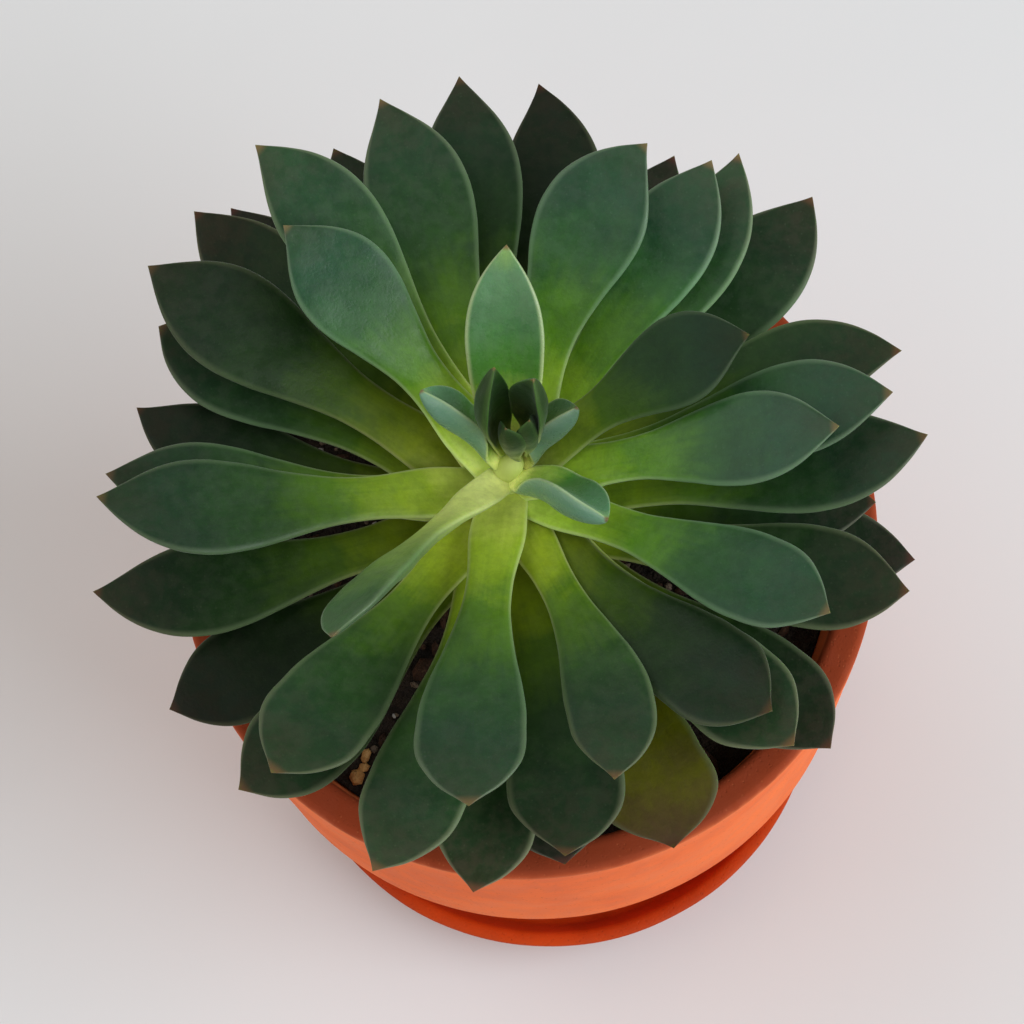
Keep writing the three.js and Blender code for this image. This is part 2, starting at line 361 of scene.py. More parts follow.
# %% [markdown]
# ## Fired clay
# A terracotta pot is pressed from red earthenware and fired without glaze. Its colour drifts in
# wide clouds, sand and grog show as pale and dark grains, and the skin has fine pits. One
# recipe makes both the pot and the saucer: the saucer's clay is darker, redder and a little
# smoother, a painted shade for the saucer that sits in the pot's shadow. The rim's top is
# darker above a height, a painted shade where the leaves hang over it.

# %% Clay finish
CLAY_CLOUDS = 38.0
CLAY_GRAINS = 1500.0
CLAY_RELIEF = 0.00006
PAINTED_SHADE_FADE = (-0.0022, 0.0004)


def clay(name, light, deep, rough, painted_shade_above=None, painted_shade_colour=None):
    """Fired clay: light and deep are the two colours of its clouds. Above the height painted_shade_above
    it fades into painted_shade_colour, a painted shade of the leaves over the rim."""
    material, tree, shader = finish_of(name)
    here = place(tree)
    cloud = placed(tree, clouds, Place=here, Size=CLAY_CLOUDS)
    grain = placed(tree, grains, Place=here, Size=CLAY_GRAINS)
    dusty = tuple(1.25 * c for c in light)
    sand = tuple(min(1, 1.4 * c + 0.04) for c in light)
    grog = tuple(0.4 * c for c in deep)
    colour = blend(tree, cloud["Wide"], light, deep)
    colour = blend(tree, times(tree, cloud["Small"], 0.28), colour, dusty)
    # Painted shade: above the given height the clay fades into a darker colour, standing for the leaves'
    # shadow on the rim.
    if painted_shade_above is not None:
        ragged = times(tree, centred(tree, cloud["Small"]), 0.0006)
        level = plus(tree, axes(tree, here)["Z"], ragged)
        painted_shade = span(tree, level, painted_shade_above + PAINTED_SHADE_FADE[0], painted_shade_above + PAINTED_SHADE_FADE[1])
        colour = blend(tree, painted_shade, colour, painted_shade_colour)
    colour = blend(tree, times(tree, grain["Pale"], 0.12), colour, sand)
    colour = blend(tree, times(tree, grain["Dark"], 0.45), colour, grog)
    put(shader.inputs["Base Color"], colour)
    put(shader.inputs["Roughness"], span(tree, cloud["Small"], 0, 1, rough - 0.08, rough + 0.06))
    shader.inputs["Specular IOR Level"].default_value = 0.22
    hollow = times(tree, grain["Pits"], -1.0)
    fine = noise(tree, here, 2600.0, 2.0)
    put(shader.inputs["Normal"], bump(tree, plus(tree, hollow, fine), CLAY_RELIEF))
    return material


POT_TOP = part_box("pot")[1][2]
# The rim's top gets a painted shade, dark red-brown, where the leaves shade it.
PAINTED_SHADE_ABOVE = POT_TOP - 0.0008
pot_clay = clay("pot_clay", (0.85, 0.178, 0.047), (0.77, 0.138, 0.033), 0.85,
                PAINTED_SHADE_ABOVE, (0.3, 0.045, 0.012))
# The saucer's darker, redder clay is painted shade: the saucer sits in the pot's shadow.
saucer_clay = clay("saucer_clay", (0.49, 0.05, 0.002), (0.4, 0.037, 0.002), 0.75)
print("clay finishes made")

# %% [markdown]
# ## The pot
# A pot like this is pressed in a turning mould: a tapered body under a deep collar, with a
# rounded rim and a drain hole in its floor. A profile carried round the upright axis is its
# natural description. Faint turning ridges and a wall a hair out of round keep it from looking
# like a perfect machine part.

# %% Pot
SIDES = 224
pot_low, pot_high = (np.array(corner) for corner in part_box("pot"))
RIM_R = pot_high[0]
BASE_Z = pot_low[2]
COLLAR_Z = POT_TOP - 54 * MM
FLOOR_Z = BASE_Z + 6 * MM
DRAIN_R = 7 * MM
DRAIN_SEAM_Z = BASE_Z + 2 * MM
FOOT_R = 43 * MM
NECK_R = 57.2 * MM
COLLAR_R = 61.6 * MM
WELL_R = 37.6 * MM
MOUTH_R = RIM_R - 6.2 * MM
POT_CORNERS = np.array([0.8, 2.0, 1.2, 1.3, 1.9, 1.6, 2.5, 0.8]) * MM
RIDGE_HEIGHT = 0.035 * MM
RIDGE_PITCH = 2.3 * MM

pot_profile = np.array([
    [DRAIN_R, DRAIN_SEAM_Z],
    [DRAIN_R, BASE_Z],
    [FOOT_R, BASE_Z],
    [NECK_R, COLLAR_Z],
    [COLLAR_R, COLLAR_Z],
    [RIM_R, POT_TOP],
    [MOUTH_R, POT_TOP],
    [WELL_R, FLOOR_Z],
    [DRAIN_R, FLOOR_Z],
    [DRAIN_R, DRAIN_SEAM_Z],
])
pot_profile = eased_corners(pot_profile, POT_CORNERS)
pot_profile = spaced(pot_profile, 1.0 * MM)[:-1]
pot_points = turned(pot_profile, SIDES)
turn = np.arctan2(pot_points[:, 1], pot_points[:, 0])
radius = np.hypot(pot_points[:, 0], pot_points[:, 1])
ridges = RIDGE_HEIGHT * np.sin(pot_points[:, 2] / RIDGE_PITCH * 2 * np.pi + 1.5 * np.sin(turn))
swell = 0.12 * MM * np.sin(2 * turn + 0.7) + 0.1 * MM * waves(pot_points, 25 * MM, SEED)
outer = smooth_step(radius, 12 * MM, 30 * MM)
pot_points[:, :2] *= (1 + outer * (ridges + swell) / radius)[:, None]
pot = make_piece("clay_pot", pot_points, tube_faces(len(pot_profile), SIDES, closed=True).tolist(),
                 pot_clay, ["pot"])
print("pot faces:", len(pot.data.polygons))

# %% [markdown]
# ## The saucer
# The saucer is a shallow clay dish, open enough for the pot's foot. Its profile starts and ends
# on the axis, so both ends close with a pole.

# %% Saucer
saucer_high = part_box("saucer")[1]
SAUCER_R = saucer_high[0]
SAUCER_TOP = saucer_high[2]
SAUCER_FLOOR = 4.5 * MM
SAUCER_FOOT_R = 49 * MM
SAUCER_WELL_R = 48.6 * MM
SAUCER_WALL = 3.2 * MM
SAUCER_CORNERS = np.array([2.2, 1.5, 1.5, 2.5]) * MM

saucer_profile = np.array([
    [0, 0],
    [SAUCER_FOOT_R, 0],
    [SAUCER_R, SAUCER_TOP],
    [SAUCER_R - SAUCER_WALL, SAUCER_TOP],
    [SAUCER_WELL_R, SAUCER_FLOOR],
    [0, SAUCER_FLOOR],
])
saucer_profile = eased_corners(saucer_profile, SAUCER_CORNERS)
saucer_profile = spaced(saucer_profile, 1.2 * MM)
saucer_points = turned(saucer_profile[1:-1], SIDES)
turn = np.arctan2(saucer_points[:, 1], saucer_points[:, 0])
radius = np.hypot(saucer_points[:, 0], saucer_points[:, 1])
swell = 0.1 * MM * np.sin(2 * turn + 2.1) + 0.08 * MM * waves(saucer_points, 22 * MM, SEED + 1)
saucer_points[:, :2] *= (1 + smooth_step(radius, 46 * MM, 52 * MM) * swell / radius)[:, None]
saucer_points = np.vstack([saucer_points, [0, 0, 0], [0, 0, SAUCER_FLOOR]])
# The saucer takes the darker clay, a painted shade.
saucer = make_piece("clay_saucer", saucer_points, capped_faces(len(saucer_profile) - 2, SIDES),
                    saucer_clay, ["saucer"])
print("saucer faces:", len(saucer.data.polygons))

# %% [markdown]
# ## Potting soil
# The soil is a dark crumbly mix with bark, white perlite, grit and a few tan chips in it. One
# recipe makes all five finishes: two colours in clouds, with pale grains and a rough bump.

# %% Soil finishes
def speckled(name, light, deep, rough, size, depth):
    """A crumbly or stony finish: two colours in clouds, with grains and a rough bump."""
    material, tree, shader = finish_of(name)
    here = place(tree)
    cloud = placed(tree, clouds, Place=here, Size=size)
    grain = placed(tree, grains, Place=here, Size=size * 6)
    crumb = tuple(min(1, 1.7 * c + 0.02) for c in light)
    colour = blend(tree, cloud["Wide"], deep, light)
    colour = blend(tree, times(tree, cloud["Small"], 0.4), colour, light)
    colour = blend(tree, times(tree, grain["Pale"], 0.5), colour, crumb)
    put(shader.inputs["Base Color"], colour)
    put(shader.inputs["Roughness"], span(tree, cloud["Small"], 0, 1, rough - 0.1, rough + 0.05))
    shader.inputs["Specular IOR Level"].default_value = 0.3
    put(shader.inputs["Normal"], bump(tree, plus(tree, cloud["Small"], grain["Pits"]), depth))
    return material


soil_mix = speckled("soil_mix", (0.045, 0.03, 0.02), (0.012, 0.008, 0.006), 0.9, 220.0, 0.0006)
bark = speckled("bark", (0.11, 0.05, 0.025), (0.035, 0.016, 0.009), 0.8, 420.0, 0.0003)
perlite = speckled("perlite", (0.82, 0.8, 0.76), (0.6, 0.57, 0.52), 0.85, 700.0, 0.0002)
chip = speckled("chip", (0.55, 0.3, 0.1), (0.38, 0.15, 0.04), 0.5, 260.0, 0.0002)
grit = speckled("grit", (0.3, 0.22, 0.15), (0.12, 0.085, 0.06), 0.75, 600.0, 0.0002)

# %% [markdown]
# ## The soil's surface
# The top is a polar grid: its crown is lifted, it falls towards the wall, and several sizes of
# unevenness lie over that. The wall below it runs straight down the inside of the pot.

# %% Soil surface
soil_low, soil_high = (np.array(corner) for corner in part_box("soil"))
SOIL_R = soil_high[0]
SOIL_TOP = soil_high[2]
SOIL_FALL = 3 * MM
SOIL_EDGE = SOIL_TOP - SOIL_FALL
SOIL_SIDES = 200
SOIL_TOP_ROWS = 90
SOIL_WALL_ROWS = 29


def soil_height(x, y):
    """Height of the soil: a low crown, less its fall towards the wall, plus clods and crumbs."""
    fall = SOIL_FALL * np.clip(np.hypot(x, y) / SOIL_R, 0, 1) ** 1.7
    flat = np.stack([x, y, 0 * x], -1)
    clods = 0.55 * MM * waves(flat, 13 * MM, SEED + 2) + 0.35 * MM * waves(flat, 5 * MM, SEED + 3)
    crumbs = 0.3 * MM * waves(flat, 1.9 * MM, SEED + 4, 60)
    return SOIL_TOP - 0.6 * MM - fall + clods + crumbs


top_r = np.linspace(SOIL_R, 1.2 * MM, SOIL_TOP_ROWS)[:, None]
soil_turn = (np.arange(SOIL_SIDES) * 2 * np.pi / SOIL_SIDES)[None]
top_x, top_y = top_r * np.cos(soil_turn), top_r * np.sin(soil_turn)
top = np.stack([top_x, top_y, soil_height(top_x, top_y)], -1)
wall_share = np.linspace(0, 1, SOIL_WALL_ROWS + 1)[:-1, None, None]
foot_x, foot_y = WELL_R * np.cos(soil_turn), WELL_R * np.sin(soil_turn)
foot = np.stack([foot_x, foot_y, 0 * soil_turn + soil_low[2]], -1)
wall = foot * (1 - wall_share) + top[:1] * wall_share
soil_points = np.concatenate([wall, top]).reshape(-1, 3)
middle = top[-1].mean(0)
soil_points = np.vstack([soil_points, [0, 0, soil_low[2]], middle])
soil_faces = capped_faces(SOIL_WALL_ROWS + SOIL_TOP_ROWS, SOIL_SIDES)
soil = make_piece("potting_soil", soil_points, soil_faces, soil_mix, ["soil"])
print("soil faces:", len(soil.data.polygons), "top at", round(SOIL_TOP, 4))

# %% [markdown]
# ## Loose bits
# Each bit is a squashed, jittered ball of thirty faces, and all bits of one kind are one mesh.
# Most lie anywhere on the soil. The three tan chips have places of their own near the wall.

# %% Loose bits on the soil
BIT_ROWS = 4
BIT_SIDES = 6
BIT_JITTER = 0.22
BIT_EDGE = 3.5 * MM
CHIP_SPOTS = np.array([[-37.2, -36.6], [-38.6, -38.2], [-36.4, -34.4]]) * MM


def bits(name, count, size, squash, seed, finish, sunk=0.3, spots=None):
    """Many small stones in one mesh. Each is a ball, point = (cos b cos a, cos b sin a, sin b),
    stretched along three axes, jittered, turned at random and set on the soil."""
    rng = np.random.default_rng(seed)
    b = np.linspace(-np.pi / 2, np.pi / 2, BIT_ROWS + 2)[1:-1, None]
    a = np.arange(BIT_SIDES)[None] * 2 * np.pi / BIT_SIDES
    ball = np.stack([np.cos(b) * np.cos(a), np.cos(b) * np.sin(a), np.sin(b) + 0 * a], -1).reshape(-1, 3)
    ball = np.vstack([ball, [0, 0, -1], [0, 0, 1]])
    big = size * MM * rng.lognormal(0, 0.35, (count, 1, 1)) / 2
    shape = ball[None] * (1 + rng.uniform(-BIT_JITTER, BIT_JITTER, (count, len(ball), 3)))
    broad, tall = rng.uniform(*squash, count), rng.uniform(*squash, count) * 0.8
    shape = shape * big * np.stack([np.ones(count), broad, tall], -1)[:, None]
    spin, tilt = rng.uniform(0, 2 * np.pi, count), rng.uniform(-0.5, 0.5, count)
    c, s, ct, st = np.cos(spin), np.sin(spin), np.cos(tilt), np.sin(tilt)
    turns = np.stack([c * ct, -s, c * st, s * ct, c, s * st, -st, 0 * c, ct], -1).reshape(-1, 3, 3)
    shape = np.einsum("nij,nkj->nki", turns, shape)
    far = (SOIL_R - BIT_EDGE) * np.sqrt(rng.uniform(0.02, 1, count))
    way = rng.uniform(0, 2 * np.pi, count)
    x, y = far * np.cos(way), far * np.sin(way)
    if spots is not None:
        x, y = spots[:, 0], spots[:, 1]
    rest = soil_height(x, y) + big[:, 0, 0] * squash[0] * (1 - 2 * sunk)
    points = shape + np.stack([x, y, rest], -1)[:, None]
    one = capped_faces(BIT_ROWS, BIT_SIDES)
    stride = len(ball)
    faces = [[v + n * stride for v in face] for n in range(count) for face in one]
    return make_piece(name, points.reshape(-1, 3), faces, finish)


bark_bits = bits("soil_bark", 420, 3.6, (0.35, 0.8), SEED + 10, bark)
perlite_bits = bits("soil_perlite", 60, 1.8, (0.7, 1.0), SEED + 11, perlite)
grit_bits = bits("soil_grit", 460, 1.4, (0.6, 1.0), SEED + 12, grit)
chips = bits("soil_chips", len(CHIP_SPOTS), 3.6, (0.5, 0.8), SEED + 13, chip, 0.1, CHIP_SPOTS)
print("bits:", sum(len(o.data.polygons) for o in (bark_bits, perlite_bits, grit_bits, chips)), "faces")

# %% [markdown]
# ## Leaf skin
# A succulent leaf is a bag of water under a waxy skin. It is yellow-green at its foot, where it
# has seen little light, fresh green in the middle and a dark blue-green on its broad end. The
# margin is thin and lets light through, so it looks paler, and the horny tip is reddish brown.
# Older leaves are darker, with a purple-brown flush towards the tip. The patterns follow the
# leaf, so they read its own UV map, where U runs from foot to tip and V from edge to edge, and
# four attributes: age, from 0 in the heart to 1 on the lowest leaf, upper, which is 1 on the
# leaf's upper face, pale, which lightens or darkens a whole leaf as painted light and
# shade together with its own tone, and warm, which yellows it. A soft sheen, even over the whole
# leaf, stands for its bloom of wax.

# %% Leaf finish
PLAIN_EDGE = (0.13, 0.22, 0.11)
PLAIN_UNDER = (0.35, (0.035, 0.065, 0.025))
# Range of a leaf's lightness: painted light and shade, together with its own tone.
LIGHT_AND_TONE_LEAST, LIGHT_AND_TONE_MOST = 0.4, 1.9
LIGHT_AND_TONE_RANGE = [(0, (LIGHT_AND_TONE_LEAST,) * 3), (1, (LIGHT_AND_TONE_MOST,) * 3)]
WARM_RANGE = [(0, (0.7, 1, 1.3)), (1, (1.3, 1, 0.7))]
STREAK_SHAPE = (1.6, 7, 1)
PORE_DEPTH = 0.04 * MM
SHEEN_TINT = (0.72, 0.9, 0.78, 1)
GREEN_DEPTHS = (0.5, 1.0, 0.25)


def leaf_skin(name, young, old, flush, rough, gloss, edge=PLAIN_EDGE, under=PLAIN_UNDER):
    """A waxy leaf: young and old are colour stops along the leaf for age 0 and age 1, edge is
    the margin's colour, and under is how strongly the underside is tinted and with what."""
    material, tree, shader = finish_of(name)
    here = place(tree)
    grown = axes(tree, place(tree, "UV"))
    along, across = grown["X"], grown["Y"]
    age, upper = attribute(tree, "age"), attribute(tree, "upper")
    cloud = placed(tree, clouds, Place=here, Size=85.0)
    speck = placed(tree, grains, Place=here, Size=1500.0)

    stretch = tree.nodes.new("ShaderNodeMapping")
    put(stretch.inputs["Vector"], place(tree, "UV"))
    stretch.inputs["Scale"].default_value = STREAK_SHAPE
    streaks = span(tree, noise(tree, stretch.outputs[0], 1.0, 3.0, 0.6), 0.35, 0.7)

    drift = times(tree, centred(tree, cloud["Wide"]), 0.07)
    drift = plus(tree, drift, times(tree, centred(tree, streaks), 0.035))
    spot = plus(tree, along, drift)
    colour = blend(tree, age, ramp(tree, spot, young), ramp(tree, spot, old))

    dark = times(tree, cloud["Wide"], span(tree, along, 0.3, 0.7, 0.0, 0.5))
    colour = blend(tree, dark, colour, blend(tree, 1.0, colour, (0.62, 0.6, 0.62), "MULTIPLY"))
    colour = blend(tree, times(tree, cloud["Small"], 0.07), colour, (0.12, 0.17, 0.12))
    colour = blend(tree, times(tree, speck["Pale"], 0.05), colour, (0.22, 0.3, 0.2))
    mottle = span(tree, noise(tree, here, 620.0, 5.0, 0.75), 0.4, 0.62, 0.0, 0.26)
    colour = blend(tree, mottle, colour, blend(tree, 1.0, colour, (0.5, 0.52, 0.5), "MULTIPLY"))

    off_middle = maths(tree, "ABSOLUTE", centred(tree, across))
    margin = span(tree, off_middle, 0.425, 0.495)
    towards_tip = span(tree, along, 0.62, 0.98)
    uneven = span(tree, cloud["Small"], 0, 1, 0.25, 0.8)
    flushed = times(tree, towards_tip, times(tree, age, uneven))
    colour = blend(tree, times(tree, flushed, 0.55), colour, flush)
    rim = blend(tree, times(tree, towards_tip, age), edge, (0.14, 0.13, 0.1))
    rim = blend(tree, span(tree, along, 0.05, 0.6), (0.62, 0.72, 0.3), rim)
    colour = blend(tree, times(tree, margin, 0.55), colour, rim)
    colour = blend(tree, span(tree, upper, 0.0, 1.0, under[0], 0.0), colour, under[1])
    horn = span(tree, along, 0.968, 0.992)
    colour = blend(tree, horn, colour, blend(tree, age, (0.16, 0.13, 0.05), (0.06, 0.02, 0.015)))
    # The whole leaf is lightened or darkened: painted light and shade, together with the leaf's own tone.
    pale = ramp(tree, attribute(tree, "pale"), LIGHT_AND_TONE_RANGE)
    warm = ramp(tree, attribute(tree, "warm"), WARM_RANGE)
    colour = blend(tree, 1.0, colour, pale, "MULTIPLY")
    put(shader.inputs["Base Color"], blend(tree, 1.0, colour, warm, "MULTIPLY"))

    wax = times(tree, cloud["Small"], 0.16)
    put(shader.inputs["Roughness"], plus(tree, wax, rough))
    shader.inputs["Specular IOR Level"].default_value = gloss
    shader.inputs["Sheen Weight"].default_value = 0.16
    shader.inputs["Sheen Roughness"].default_value = 0.4
    shader.inputs["Sheen Tint"].default_value = SHEEN_TINT
    shader.inputs["Subsurface Weight"].default_value = 0.12
    shader.inputs["Subsurface Radius"].default_value = GREEN_DEPTHS
    shader.inputs["Subsurface Scale"].default_value = 0.0025
    pores = plus(tree, noise(tree, here, 1900.0, 2.0), times(tree, cloud["Small"], 0.7))
    put(shader.inputs["Normal"], bump(tree, pores, PORE_DEPTH))
    return material


YOUNG = [
    (0.0, (0.86, 0.97, 0.24)), (0.16, (0.44, 0.64, 0.045)), (0.38, (0.115, 0.265, 0.014)),
    (0.6, (0.036, 0.12, 0.026)), (0.8, (0.023, 0.086, 0.037)), (1.0, (0.032, 0.092, 0.034)),
]
OLD = [
    (0.0, (0.46, 0.6, 0.04)), (0.2, (0.2, 0.32, 0.008)), (0.38, (0.05, 0.115, 0.006)),
    (0.58, (0.01, 0.036, 0.007)), (0.85, (0.006, 0.021, 0.008)), (1.0, (0.016, 0.018, 0.01)),
]
HEART = [
    (0.0, (0.75, 0.85, 0.25)), (0.15, (0.3, 0.46, 0.06)), (0.36, (0.05, 0.17, 0.02)),
    (0.62, (0.05, 0.16, 0.06)), (0.88, (0.08, 0.22, 0.11)), (1.0, (0.18, 0.36, 0.12)),
]
# The buds' dark ramp is painted shade, for the buds deep in the heart's shadow.
BUD_PAINTED_SHADE = [
    (0.0, (0.3, 0.42, 0.05)), (0.2, (0.035, 0.1, 0.008)), (0.6, (0.01, 0.045, 0.004)),
    (0.85, (0.012, 0.05, 0.007)), (1.0, (0.05, 0.12, 0.03)),
]
PALE = [
    (0.0, (0.34, 0.38, 0.01)), (0.4, (0.2, 0.25, 0.004)), (0.68, (0.15, 0.19, 0.002)),
    (0.86, (0.12, 0.12, 0.02)), (1.0, (0.1, 0.07, 0.04)),
]
FLUSH = (0.032, 0.017, 0.012)
EDGEWISE = [
    (0.0, (0.8, 0.88, 0.3)), (0.3, (0.5, 0.64, 0.14)), (0.58, (0.16, 0.3, 0.05)),
    (0.8, (0.05, 0.14, 0.04)), (1.0, (0.06, 0.16, 0.05)),
]
leaf_inner = leaf_skin("leaf_inner", YOUNG, OLD, FLUSH, 0.3, 0.26)
leaf_middle = leaf_skin("leaf_middle", YOUNG, OLD, FLUSH, 0.36, 0.2)
leaf_outer = leaf_skin("leaf_outer", YOUNG, OLD, FLUSH, 0.42, 0.14)
leaf_edgewise = leaf_skin("leaf_edgewise", EDGEWISE, EDGEWISE, FLUSH, 0.28, 0.4)
leaf_heart = leaf_skin("leaf_heart", HEART, HEART, (0.12, 0.2, 0.1), 0.22, 0.5,
                       (0.42, 0.55, 0.32), (0.8, (0.13, 0.27, 0.2)))
# Bud leaves take the dark ramp: painted shade of the heart.
leaf_bud = leaf_skin("leaf_bud", BUD_PAINTED_SHADE, BUD_PAINTED_SHADE, (0.03, 0.06, 0.01), 0.28, 0.2, (0.06, 0.16, 0.03))
leaf_pale = leaf_skin("leaf_pale", PALE, PALE, (0.1, 0.05, 0.02), 0.46, 0.07)
LEAF_FINISHES = {"leaf_inner": leaf_inner, "leaf_middle": leaf_middle, "leaf_outer": leaf_outer}
SPECIAL = {
    "leaf_bud_north": leaf_bud,
    "leaf_bud_south": leaf_bud,
    "leaf_bud_west": leaf_bud,
    "leaf_bud_east": leaf_bud,
    "leaf_heart_east": leaf_heart,
    "leaf_heart_west": leaf_heart,
    "leaf_heart_south": leaf_heart,
    "leaf_inner_north": leaf_heart,
    "leaf_inner_southwest": leaf_edgewise,
    "leaf_inner_east": leaf_outer,
    "leaf_south_pale": leaf_pale,
}

# %% [markdown]
# ## Reading a leaf from the frame
# Each CAD leaf is a skin over eleven rings of eight points, with a vertex in the middle of its
# foot and one at its tip. Only those two have eight neighbours, so they can be found, and the
# number of steps from the foot tells which ring a point is in. From each ring come its centre,
# the direction across the leaf, its half width, its half thickness and how deep it is dished.

# %% Leaf rings
RING = 8


def rings_of(node):
    """Points of a CAD leaf as rings x 8 x 3 from foot to tip, its foot point and its tip point."""
    mesh = frame["nodes"][node].data
    flat = np.empty(len(mesh.vertices) * 3, dtype=np.float32)
    mesh.vertices.foreach_get("co", flat)
    points, which = np.unique(np.round(flat.reshape(-1, 3).astype(float), 7), axis=0, return_inverse=True)
    mesh.calc_loop_triangles()
    corners = np.empty(len(mesh.loop_triangles) * 3, dtype=np.int32)
    mesh.loop_triangles.foreach_get("vertices", corners)
    corners = which.ravel()[corners].reshape(-1, 3)
    edges = np.concatenate([corners[:, [0, 1]], corners[:, [1, 2]], corners[:, [2, 0]]])
    poles = np.flatnonzero(np.bincount(edges[:, 0], minlength=len(points)) == RING)
    off = [np.linalg.norm(points[edges[edges[:, 0] == p, 1]].mean(0) - points[p]) for p in poles]
    steps = np.full(len(points), len(points))
    steps[poles[int(np.argmin(off))]] = 0
    for _ in range(len(points) // RING + 2):
        np.minimum.at(steps, edges[:, 1], steps[edges[:, 0]] + 1)
    ordered = points[np.argsort(steps, kind="stable")]
    return ordered[1:-1].reshape(-1, RING, 3), ordered[0], ordered[-1]


def unit(vectors):
    """The same directions with length 1."""
    return vectors / np.linalg.norm(vectors, axis=-1, keepdims=True)


def measured(rings, tip):
    """One row per ring and one for the tip: centre, across, half width, half thickness, rise of
    the middle, dish. Across is each ring's longest direction, from its scatter matrix."""
    centre = rings.mean(1)
    path = np.vstack([centre, tip])
    along = unit(np.gradient(path, axis=0)[:-1])
    spread = rings - centre[:, None]
    across = np.linalg.eigh(np.einsum("kni,knj->kij", spread, spread))[1][:, :, -1]
    across = unit(across - (across * along).sum(-1, keepdims=True) * along)
    same = np.where((across[1:] * across[:-1]).sum(-1) < 0, -1.0, 1.0)
    across[1:] *= np.cumprod(same)[:, None]
    level_out = unit((tip - centre[0]) * [1, 1, 0])
    if np.cross(along[0], across[0]) @ (np.array([0, 0, 1.0]) - level_out) < 0:
        across = -across
    normal = np.cross(along, across)
    side = (spread * across[:, None]).sum(-1)
    high = (spread * normal[:, None]).sum(-1)
    half = np.abs(side).max(1)
    inner = np.abs(side) < 0.7 * half[:, None]
    upper = np.where(inner, high, -1).max(1)
    lower = np.where(inner, high, 1).min(1)
    edge = np.where(inner, 0, high).sum(1) / (~inner).sum(1)
    middle, thick = (upper + lower) / 2, (upper - lower) / 2
    rows = np.column_stack([centre, across, half, thick, middle, edge - middle])
    last = np.concatenate([tip, across[-1], [0, 0, 0, 0]])
    return np.vstack([rows, last])


def eased(at, knots, values):
    """A cubic through every knot: its slope at a knot is the average of those on both sides."""
    slopes = np.gradient(values, knots, axis=0)
    i = np.clip(np.searchsorted(knots, at, side="right") - 1, 0, len(knots) - 2)
    h = (knots[i + 1] - knots[i])[:, None]
    t = (at - knots[i])[:, None] / h
    first = values[i] * (1 + 2 * t) * (1 - t) ** 2 + values[i + 1] * t * t * (3 - 2 * t)
    return first + h * t * (1 - t) * ((1 - t) * slopes[i] - t * slopes[i + 1])


# %% [markdown]
# ## Growing the leaves
# A finished leaf is a profile carried along its spine. Across it, the profile is a flattened
# oval: x = half width * cos a, height = half thickness * sin a, with the middle dished by
# cos a squared and the underside a little fuller than the top. Its foot is widened so that the
# leaves crowd together round the stem, and runs on into the stem, as a real leaf's does. The
# leaves that face the light, to the front, have slightly fuller ends, and those at the back
# are slightly longer.
#
# The youngest leaves stand in the heart, where they fold lengthwise and roll about their own
# length. Their table gives fold, roll in degrees, and how much wider, thicker and longer each
# is than its CAD leaf. A second table gives leaves, in a few grades, their lightness and warmth;
# the lightness is painted light and shade on leaves that face the light or turn from it,
# together with each leaf's own tone.

# %% Leaf surface
LEAF_ROWS = 72
LEAF_COLUMNS = 36
SUNK = 2.2 * MM
CROWN_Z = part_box("stem")[1][2]
LOWEST_FOOT = CROWN_Z - 33 * MM
BACK_LONGER = 0.03
TIP_CROWDING = 1.3
FOOT_WIDER = 0.8
FOOT_THICKER = 0.35
SUNNY_FULLER = 0.14
LEAST_HALF = 0.12 * MM
LEAST_THICK = 0.1 * MM
EDGE_POWER = 0.88
UPPER_SHARE = 0.94
UNDER_SHARE = 1.08
SOFT_LENGTH = 11 * MM
SOFT_HEIGHT = 0.16 * MM
SOFT_FADES_UNDER = 5 * MM

YOUNG_AGE = 0.275
YOUNG_OUTLINE = np.array([
    [0, 0.6], [0.2, 0.8], [0.42, 0.97], [0.6, 1.0], [0.74, 0.86],
    [0.86, 0.56], [0.94, 0.26], [0.98, 0.09], [1.0, 0.0],
])
YOUNG_FORM = {
    "leaf_inner_north": (0.28, 0, 1.05, 1.0, 1.0),
    "leaf_inner_southwest": (0.6, 25, 0.85, 1.1, 1.0),
    "leaf_heart_south": (0.6, 48, 1.0, 1.4, 1.0),
    "leaf_heart_west": (0.65, -52, 0.95, 1.5, 1.0),
    "leaf_heart_east": (0.65, 50, 1.0, 1.4, 1.05),
    "leaf_bud_west": (0.6, 0, 1.15, 1.2, 1.25),
    "leaf_bud_east": (0.6, 0, 1.25, 1.2, 1.2),
    "leaf_bud_north": (0.6, 0, 1.5, 1.3, 1.5),
    "leaf_bud_south": (0.6, 0, 1.5, 1.3, 1.4),
}
PLAIN_FORM = (0.6, 0, 1, 1, 1)
# Each grade is (lightness, warmth); the lightness paints light and shade on leaves that face the light or
# turn from it, together with each leaf's own tone.
GRADES = {
    (0.55, 0.55): "inner_east",
    (0.55, 0.7): "north_dark northwest_middle southeast_middle southwest_broad west_dark",
    (0.75, 0.55): "west_upper",
    (0.75, 0.7): "bud_south heart_east south_pale west_lower",
    (1, 0.7): (
        "bud_east bud_north bud_west east_dark northwest_dark south_middle south_narrow "
        "southeast_broad southeast_dark southwest_dark southwest_upper"
    ),
    (1.3, 0.4): "east_middle east_upper inner_northwest northeast_upper southeast_upper",
    (1.3, 0.55): "heart_south heart_west north_upper northeast_dark northwest_upper",
    (1.3, 0.7): "inner_north southeast_lower southwest_middle",
    (1.8, 0.4): "northeast_middle",
    (1.8, 0.55): "northeast_lower",
    (1.8, 0.7): "south_dark",
}
TINTS = {"leaf_" + name: grade for grade, names in GRADES.items() for name in names.split()}
PLAIN_TINT = (1.0, 0.55)


